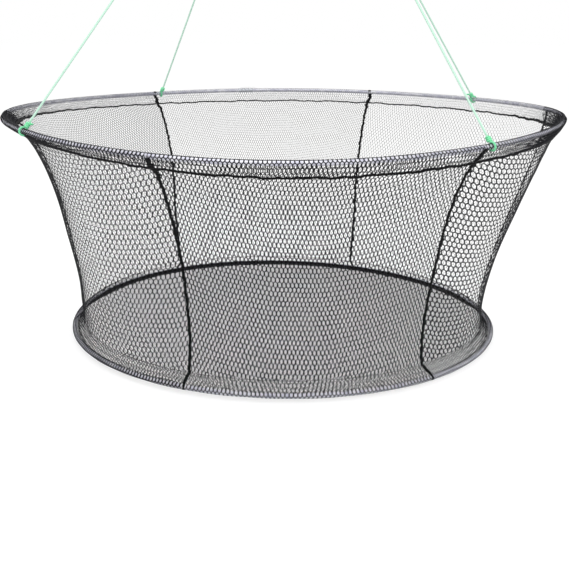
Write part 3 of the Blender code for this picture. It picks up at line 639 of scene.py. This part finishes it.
def hem_place(side, turn, run, out):
    """A point of a hem: run metres along its section from the stitches, at the angle turn, out from the
    netting. Over the crimped tube the netting swells by the tube's extra thickness."""
    radius, height, lift, joint = hoops[side]
    reach, line, way = pocket_lines[side]
    x, z = (np.interp(run, reach, line[:, i]) for i in (0, 1))
    wx, wz = (np.interp(run, reach, way[:, i]) for i in (0, 1))
    far = np.abs((turn - joint + np.pi) % (2.0 * np.pi) - np.pi) * radius
    over = np.clip((FERRULE_LENGTH / 2 + SWELL_END - far) / SWELL_END, 0.0, 1.0)
    swell = (FERRULE_RADIUS - WIRE_RADIUS) * over
    away = np.hypot(x, z)
    grow = 1.0 + swell / away * np.exp(-(away - POCKET_RADIUS) / SWELL_FADE)
    x, z = x * grow + out * wz, z * grow - out * wx
    tuck = HEM_TUCK * side_shares(turn)[0] * (side == "top")
    r, up = radius + x * np.cos(tuck) - z * np.sin(tuck), x * np.sin(tuck) + z * np.cos(tuck)
    down = (1.0 - away / HEM_LENGTH) * DRIFT_DOWN[0] if side == "top" else DRIFT_DOWN[-1] - away
    turn = drifted(turn, down)
    return np.stack([r * np.cos(turn), r * np.sin(turn), height + lift(turn) + up], 1)


pocket_lines = {side: pocket_line(slope) for side, slope in HEM_SLOPE.items()}
for side, (radius, _, _, _) in hoops.items():
    length = float(pocket_lines[side][0][-1])
    for panel, (width, pitch, half, slant, yarn) in enumerate(PANEL_GAPS):
        middle = panel_middle(panel)

        def half_width(run):
            return np.full_like(run, radius * PANEL_TURN / 2 - SEAM_HALF)

        def place(u, v, h):
            return hem_place(side, middle + u / radius, v, h)

        # the lower hem's two layers lie row on row
        rise = pitch * CROSS_PITCH if side == "top" else length / (2 * round(length / pitch / 2))
        straight, wound = (shares[panel] for shares in HEM_STRANDS[side])

        def thicker(run):
            return 1.0 + (wound / straight - 1.0) * np.exp(-(((run - length / 2) / WOUND_SPREAD) ** 4))

        yarn = yarn if side == "top" else min(yarn, LOW_HEM_YARN)
        points, faces = netting(width, rise, half * straight, slant * straight, yarn, length, half_width, 0.0,
                                place, thicker=thicker)
        net = make_piece(f"{side}_hem_net_{panel + 1}", points, faces, black_net)
        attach(net, f"{side}_hoop")
        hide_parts(f"{side}_hem_{panel + 1}")


# The stitching: black overlock thread that closes each hem in a dark, slightly wavy line and binds the
# panels' edges in upright seams, which run on over both hems to the wires.
bound_thread, tree = new_finish("black_overlock_thread")
loops = speckles(tree, 900.0, 3.0)
surface(tree, {
    "Base Color": two_tones(tree, loops, (0.35, "#040405"), (0.75, "#0f0f11")),
    "Roughness": 0.80,
    "IOR": 1.54,
    "Specular IOR Level": 0.15,
    "Sheen Weight": 0.05,
    "Sheen Roughness": 0.5,
    "Normal": dented(tree, loops, 0.7, 0.0004),
})


def heading(path):
    """A path's direction at each of its points."""
    way = np.gradient(path, axis=0)
    return way / np.linalg.norm(way, axis=1)[:, None]


def stitched(centre, across, above, wide, thick, stitch, closed=False, sides=8):
    """A bound edge: ovals wide by thick along the line centre, which swell and shift once a stitch, so that
    each stitch stands out as a lump: centre + across wide/2 cos t (1 + a) + above thick/2 sin t (1 + b)."""
    run = run_along(centre)[:, None]
    t = -2.0 * np.pi * np.arange(sides)[None] / sides
    lump = 0.5 * (1.0 + np.cos(2.0 * np.pi * run / stitch + 0.8 * np.sin(run * 310.0) + 0.9 * np.sin(t)))
    wander = 0.18 * np.sin(run * 530.0 + 1.0) + 0.14 * np.sin(run * 1370.0)
    a = wide / 2 * (0.82 + 0.34 * lump + wander * 0.5)
    b = thick / 2 * (0.80 + 0.40 * lump + wander * 0.4)
    shift = 0.22 * wide * np.sin(run * 410.0 + 0.5) * np.cos(run * 170.0)
    ring = across[:, None] * (a * np.cos(t) + shift)[..., None] + above[:, None] * (b * np.sin(t))[..., None]
    return centre[:, None] + ring, grid_faces(len(centre), sides, closed=closed)


# the hems' lines of thread: their thickness, stitch length and stations round the hoop
BINDING = {"top": (0.0024, 0.0034, 1800), "bottom": (0.0004, 0.0030, 1440)}
# the upper line is widest at the sides and thin at the back: its width by the sine of the turn. At the
# front left it swells into a tall dark band, painted shade of the hem's fold: its height, its angle, and how
# much of the turn it spreads over
THREAD_AT, THREAD_WIDE = [-1.0, -0.6, 0.0, 0.4, 1.0], [0.0032, 0.0042, 0.0046, 0.0026, 0.0022]
FOLD_SHADE_TALL, FOLD_TURN, FOLD_SPREAD = 0.0130, math.radians(204.0), math.radians(10.0)
for side, (radius, height, lift, _) in hoops.items():
    thick, stitch, stations = BINDING[side]
    turn = np.linspace(0.0, 2.0 * np.pi, stations, endpoint=False)
    centre, away, _ = hoop_frame(turn, radius, height, lift)
    wave = 0.0006 * np.sin(31 * turn + 1.0) + 0.0004 * np.sin(73 * turn)
    slope = HEM_SLOPE[side] + (HEM_TUCK * side_shares(turn)[0] * (side == "top"))[:, None]
    down = away * np.cos(slope) + UP * np.sin(slope)
    square = away * -np.sin(slope) + UP * np.cos(slope)
    # painted shade: the thread swells into a tall dark band at the front left, where the tucked hem's fold is
    # in shade
    fold_shade_band = FOLD_SHADE_TALL * np.exp(-(((turn - FOLD_TURN) / FOLD_SPREAD) ** 2)) * (side == "top")
    centre = centre + down * (HEM_LENGTH + wave - 0.35 * fold_shade_band)[:, None]
    wide = (np.interp(np.sin(turn), THREAD_AT, THREAD_WIDE) + fold_shade_band)[:, None] if side == "top" else thick
    points, (faces, uv) = stitched(centre, down, square, wide, thick, stitch, closed=True)
    thread = make_piece(f"{side}_hem_stitches", points, faces, bound_thread, uv)
    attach(thread, f"{side}_hoop")

# a band of black thread on the lower wire's inner side, at the floor net's edge: 8.6 mm tall at the back
# and thin at the front, so that its height and width follow the sine of the turn
FLOOR_BAND_IN, FLOOR_STITCH = 0.0062, 0.0032
turn = np.linspace(0.0, 2.0 * np.pi, BINDING["bottom"][2], endpoint=False)
centre, away, _ = hoop_frame(turn, BOTTOM_RADIUS - FLOOR_BAND_IN, BOTTOM_Z, low_lift)
tall = np.interp(np.sin(turn), [-0.9, 0.12, 0.22, 0.34, 0.6], [0.0006, 0.0008, 0.0050, 0.0086, 0.0084])
wide = np.interp(np.sin(turn), [0.12, 0.34], [0.0007, 0.0026])
upright = np.broadcast_to(UP, away.shape)
points, (faces, uv) = stitched(centre, away, upright, wide[:, None], tall[:, None], FLOOR_STITCH, closed=True)
thread = make_piece("floor_edge_dark_band", points, faces, bound_thread, uv)
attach(thread, "bottom_hoop")

# how far each seam runs round the upper wire, its width down the wall and on the hems, and at its foot, and
# its thickness, which is least in the two that lie along the object's left and right
SEAMS = ((0.030, 0.0036, 0.0085, 0.0036, 0.0012), (0.032, 0.0042, 0.0066, 0.0040, 0.0026),
         (0.032, 0.0042, 0.0066, 0.0040, 0.0026), (0.030, 0.0042, 0.0080, 0.0050, 0.0014),
         (0.0205, 0.0042, 0.0078, 0.0045, 0.0028), (0.0215, 0.0044, 0.0072, 0.0045, 0.0028))
SEAM_STITCH, SEAM_OUT = 0.0037, 0.0010  # a seam's stitch length, and how far it lies inside the hems' netting
hem_run = float(pocket_lines["bottom"][0][-1])
for number, (top_run, slim, broad, foot_wide, thick) in enumerate(SEAMS):
    turn = SEAM_PHASE + number * PANEL_TURN
    upper = np.linspace(top_run, 0.0008, 60)
    lower = np.linspace(0.0008, 0.030, 60)
    wall = np.linspace(0.001, WALL_LENGTH - 0.001, 420)
    centre = np.concatenate([
        hem_place("top", np.full_like(upper, turn), upper, -SEAM_OUT),
        wall_place(np.full_like(wall, turn), wall, 0.0),
        hem_place("bottom", np.full_like(lower, turn), hem_run - lower, -SEAM_OUT),
    ])
    across = np.broadcast_to([-math.sin(turn), math.cos(turn), 0.0], centre.shape)
    above = np.cross(heading(centre), across)
    # widest where it is bunched under the upper hem's stitches, and again at its foot
    run = np.concatenate([-upper, wall, WALL_LENGTH + lower])
    places = [-top_run, -0.012, 0.0, 0.025, WALL_LENGTH - 0.02, WALL_LENGTH, WALL_LENGTH + 0.03]
    widths = [0.85 * broad, broad, broad, slim, slim, foot_wide, foot_wide * 0.8]
    wide = np.interp(run, places, widths)[:, None]
    points, (faces, uv) = stitched(centre, across, above, wide, thick, SEAM_STITCH)
    seam = make_piece(f"panel_seam_{number + 1}", points, faces, bound_thread, uv)
    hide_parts(f"wall_seam_{number + 1}")
    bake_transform(seam)


# The floor net: one flat round of finer and thinner netting, sewn into the lower hem all round and hardly
# sagging. Its gaps are so many that it is made in three strips, which meet on their strands' centre lines.
FLOOR_GAP, FLOOR_PITCH, FLOOR_YARN = 0.0036, 0.0042, 0.00046
FLOOR_HALF_STRAND, FLOOR_HALF_SLANT = 0.00062, 0.00056
FLOOR_NET_RADIUS, FLOOR_SAG, FLOOR_RIPPLE = 0.3165, 0.0014, 0.0004
FLOOR_STRIPS = {"front": (WHOLE[0], 0.2310), "middle": (0.2310, 0.4020), "back": (0.4020, WHOLE[1])}


def floor_half_width(v):
    """Half the round's width at the distance v behind its front, and a hair's breadth more."""
    return np.sqrt(np.maximum(FLOOR_NET_RADIUS**2 - (v - FLOOR_NET_RADIUS) ** 2, 0.0)) + 1e-5


def floor_place(u, v, h):
    """A point of the floor net, u to the right and v behind its front: it follows the lower hoop's height
    at the edge and sags a little in the middle."""
    y = v - FLOOR_NET_RADIUS
    sag = FLOOR_SAG * (1.0 - (u**2 + y**2) / FLOOR_NET_RADIUS**2)
    ripple = FLOOR_RIPPLE * np.sin(u * 37.0) * np.sin(y * 29.0 + 1.0)
    share = np.hypot(u, y) / FLOOR_NET_RADIUS
    return np.stack([u, y, BOTTOM_Z + low_lift(np.arctan2(y, u)) * share**2 - sag + ripple + h], 1)


for name, strip in FLOOR_STRIPS.items():
    points, faces = netting(FLOOR_GAP, FLOOR_PITCH, FLOOR_HALF_STRAND, FLOOR_HALF_SLANT, FLOOR_YARN,
                            2.0 * FLOOR_NET_RADIUS, floor_half_width, 0.0, floor_place, strip=strip)
    net = make_piece(f"floor_netting_{name}", points, faces, black_net)
    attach(net, "bottom_hoop")
    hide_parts("floor_net")


# The bridle: four thin cords of bright green braided polyester. Each is turned round the upper hem, wrapped
# round itself in a small knot and cut off short; all four meet in one wrapped knot under the lifting eye.
BRIDLE_TURNS = [math.radians(a) for a in (35.7, 123.7, 215.5, 307.6)]
CORD_RADIUS, BRAID_PITCH = 0.0014, 2.6
TURN_RADIUS, WRAP_RADIUS, WRAPS = 0.0050, 0.0023, 2.6  # the turn round the hem, and the knot's wraps
APEX = np.array([0.0, 0.0, -0.055])


def braided(name, dark, light, glow):
    """Braided polyester: eight strands cross each other, four each way, once in BRAID_PITCH millimetres, so
    that the cord shows small slanting facets. They are drawn on the piece's own map, where u is the turn
    and v the length in mm. The colour is painted shade: dark in the grooves between the strands and light
    on their crests. glow is painted light: the cord gives out its own colour at this strength."""
    made, tree = new_finish(name)
    lay = add_node(tree, "ShaderNodeUVMap")
    parts = add_node(tree, "ShaderNodeSeparateXYZ", {"Vector": lay.outputs["UV"]})

    def sums(operation, first, second=0.0):
        return add_node(tree, "ShaderNodeMath", {0: first, 1: second}, operation=operation).outputs[0]

    turn = sums("MULTIPLY", parts.outputs["X"], 4.0 * 2.0 * math.pi)
    run = sums("MULTIPLY", parts.outputs["Y"], 2.0 * math.pi / BRAID_PITCH)
    right = sums("SINE", sums("ADD", turn, run))
    left = sums("SINE", sums("SUBTRACT", turn, run))
    top = sums("MAXIMUM", right, left)
    # painted shade: dark in the braid's grooves, light on the strands' crests
    tone = two_tones(tree, top, (0.10, dark), (0.75, light))
    surface(tree, {
        "Base Color": tone,
        "Roughness": 0.5,
        "IOR": 1.54,
        "Sheen Weight": 0.3,
        "Sheen Roughness": 0.4,
        # painted light: the cord glows with its own colour at the strength glow
        "Emission Color": tone,
        "Emission Strength": glow,
        "Normal": dented(tree, top, 0.5, 0.0002),
    })
    return made


# two painted copies of one green cord: the lines paler with a strong painted glow, the knots a deeper green
# with a weak one, for how the light falls on them
line_cord_painted_pale_glow = braided("braided_cord_painted_pale_glowing", "#a2d8bb", "#d2efe0", 0.31)
knot_cord_painted_deep = braided("braided_cord_painted_deeper_green", "#55e096", "#a2ffcb", 0.06)


def smooth_path(knots, count):
    """A smooth line through the points knots: each stretch is a cubic whose end slopes are half the step
    between the neighbours on either side. Gives count points, evenly spaced in the knots' numbering."""
    knots = np.asarray(knots, float)
    padded = np.concatenate([2 * knots[:1] - knots[1:2], knots, 2 * knots[-1:] - knots[-2:-1]])
    t = np.linspace(0.0, len(knots) - 1 - 1e-9, count)
    i = t.astype(int)
    f = (t - i)[:, None]
    a, b, c, d = (padded[i + k] for k in range(4))
    return 0.5 * (2 * b + (c - a) * f + (2 * a - 5 * b + 4 * c - d) * f**2 + (3 * b - a - 3 * c + d) * f**3)


def cord_round(path, radius, sides):
    """A round cord along a path: circles square to it, whose start side is carried along without twisting.
    The map's v is the length in mm."""
    way = heading(path)
    side = np.cross(way[0], [0.31, 0.52, 0.79])
    sides_on = np.empty_like(path)
    for i, ahead in enumerate(way):
        side = side - ahead * (side @ ahead)
        side /= np.linalg.norm(side)
        sides_on[i] = side
    other = np.cross(way, sides_on)
    t = 2.0 * np.pi * np.arange(sides) / sides
    ring = sides_on[:, None] * np.cos(t)[None, :, None] + other[:, None] * np.sin(t)[None, :, None]
    points = path[:, None] + ring * np.broadcast_to(radius, (len(path),))[:, None, None]
    faces, uv = grid_faces(len(path), sides)
    uv[:, 1] = np.interp(uv[:, 1], np.arange(len(path)), 1000.0 * run_along(path))
    return points.reshape(-1, 3), faces, uv


def cords_piece(name, cords, material):
    """Several round cords in one mesh."""
    points, faces, uvs, count = [], [], [], 0
    for path, radius, sides in cords:
        p, f, uv = cord_round(path, radius, sides)
        points.append(p)
        faces += [part + count for part in f]
        uvs.append(uv)
        count += len(p)
    return make_piece(name, np.concatenate(points), faces, material, np.concatenate(uvs))


def rounded_end(count, radius):
    """A cord's radius along count stations: full, and melted to a blunt point over the last few."""
    share = np.clip((count - 1 - np.arange(count)) / 4.0, 0.0, 1.0)
    return radius * (0.25 + 0.75 * np.sqrt(1.0 - (1.0 - share) ** 2))


for number, turn in enumerate(BRIDLE_TURNS):
    seat, out, side = (a[0] for a in hoop_frame(np.array([turn]), TOP_RADIUS, TOP_Z, top_lift))
    towards = (APEX - seat) / np.linalg.norm(APEX - seat)
    cross = np.cross(side, towards)
    # down through the knot, round the hem, back up in wraps round the line, and out as a short end
    start = math.pi - math.atan2(towards[2], math.hypot(towards[0], towards[1]))
    knots = [seat + towards * x + side * y for x, y in ((0.0150, 0.0), (0.0110, 0.0), (0.0078, -0.0002))]
    for i in range(9):
        a = start - 2.0 * math.pi * (i + 0.5) / 9.0
        shift = CORD_RADIUS * (i / 4 - 1.0)
        knots.append(seat + (out * math.cos(a) + UP * math.sin(a)) * TURN_RADIUS + side * shift)
    for i in range(21):
        a = 2.0 * math.pi * WRAPS * i / 20.0
        around = (side * math.cos(a) + cross * math.sin(a)) * WRAP_RADIUS
        knots.append(seat + towards * (0.0062 + 0.0062 * i / 20.0) + around)
    last = knots[-1]
    for x in (0.0025, 0.0050, 0.0075):
        knots.append(last + side * x + towards * (0.15 * x) - cross * (0.25 * x))
    path = smooth_path(knots, 260)
    piece = cords_piece(f"hitch_cord_{number + 1}", [(path, rounded_end(260, CORD_RADIUS), 8)], knot_cord_painted_deep)
    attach(piece, "top_hoop")
    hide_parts(f"bridle_hitch_{number + 1}")

    reach = np.linspace(0.0125, np.linalg.norm(APEX - seat) - 0.004, 120)
    path = seat + towards * reach[:, None]
    line = cords_piece(f"line_cord_painted_pale_glow_{number + 1}", [(path, CORD_RADIUS, 10)], line_cord_painted_pale_glow)
    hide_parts(f"bridle_line_{number + 1}")
    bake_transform(line)

# The gathering knot: the four cords' ends wrapped five times round the bundle, as a ball 20 mm across.
WRAPS_RADIUS, WRAPS_CORD = 0.0078, 0.0021
polar = np.radians(np.linspace(158.0, 26.0, 300))
a = 2.0 * np.pi * np.linspace(0.0, 5.0, 300)
ball = np.stack([np.sin(polar) * np.cos(a), np.sin(polar) * np.sin(a), np.cos(polar)], 1)
path = APEX + WRAPS_RADIUS * ball
knot = [(path, WRAPS_CORD, 10)]
for turn in BRIDLE_TURNS:
    a = np.linspace(0.0, 1.0, 30)[:, None]
    foot_at = APEX + np.array([0.0040 * math.cos(turn), 0.0040 * math.sin(turn), -0.0068])
    head_at = APEX + np.array([0.0024 * math.cos(turn), 0.0024 * math.sin(turn), 0.0072])
    knot.append((foot_at + (head_at - foot_at) * a, CORD_RADIUS * 1.6, 8))
piece = cords_piece("gathering_wraps", knot, knot_cord_painted_deep)
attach(piece, "lift_point")
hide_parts("gather_knot")

# The lifting eye: the cord doubled and twisted on itself, up one leg, round a 24 mm crown and down the
# other. The legs, leg from the axis, run from foot_z to bend_z, where they turn out towards the crown.
leg, crown, crown_z, foot_z, bend_z = 0.0028, 0.0145, -0.012, -0.0475, -0.0414
strand_off, strand_radius, lay_length = 0.00122, 0.00125, 0.016
touch = math.atan2(bend_z - crown_z, leg) + math.acos(crown / math.hypot(leg, bend_z - crown_z))
a = np.linspace(touch, math.pi - touch, 60)
arc = np.stack([crown * np.cos(a), 0 * a, crown_z + crown * np.sin(a)], 1)
ends = np.array([[leg, 0.0, foot_z], [leg, 0.0, (foot_z + bend_z) / 2], [leg, 0.0, bend_z]])
middle_line = smooth_path(np.concatenate([ends, arc, (ends * [-1, 1, 1])[::-1]]), 400)
square = np.array([0.0, 1.0, 0.0])
flat_side = np.cross(heading(middle_line), square)
twist = 2.0 * np.pi * run_along(middle_line) / lay_length
strands = []
for phase in (0.0, math.pi):
    off = square * np.cos(twist + phase)[:, None] + flat_side * np.sin(twist + phase)[:, None]
    strands.append((middle_line + off * strand_off, strand_radius, 8))
piece = cords_piece("lifting_loop", strands, knot_cord_painted_deep)
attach(piece, "lift_point")
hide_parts("lift_eye")
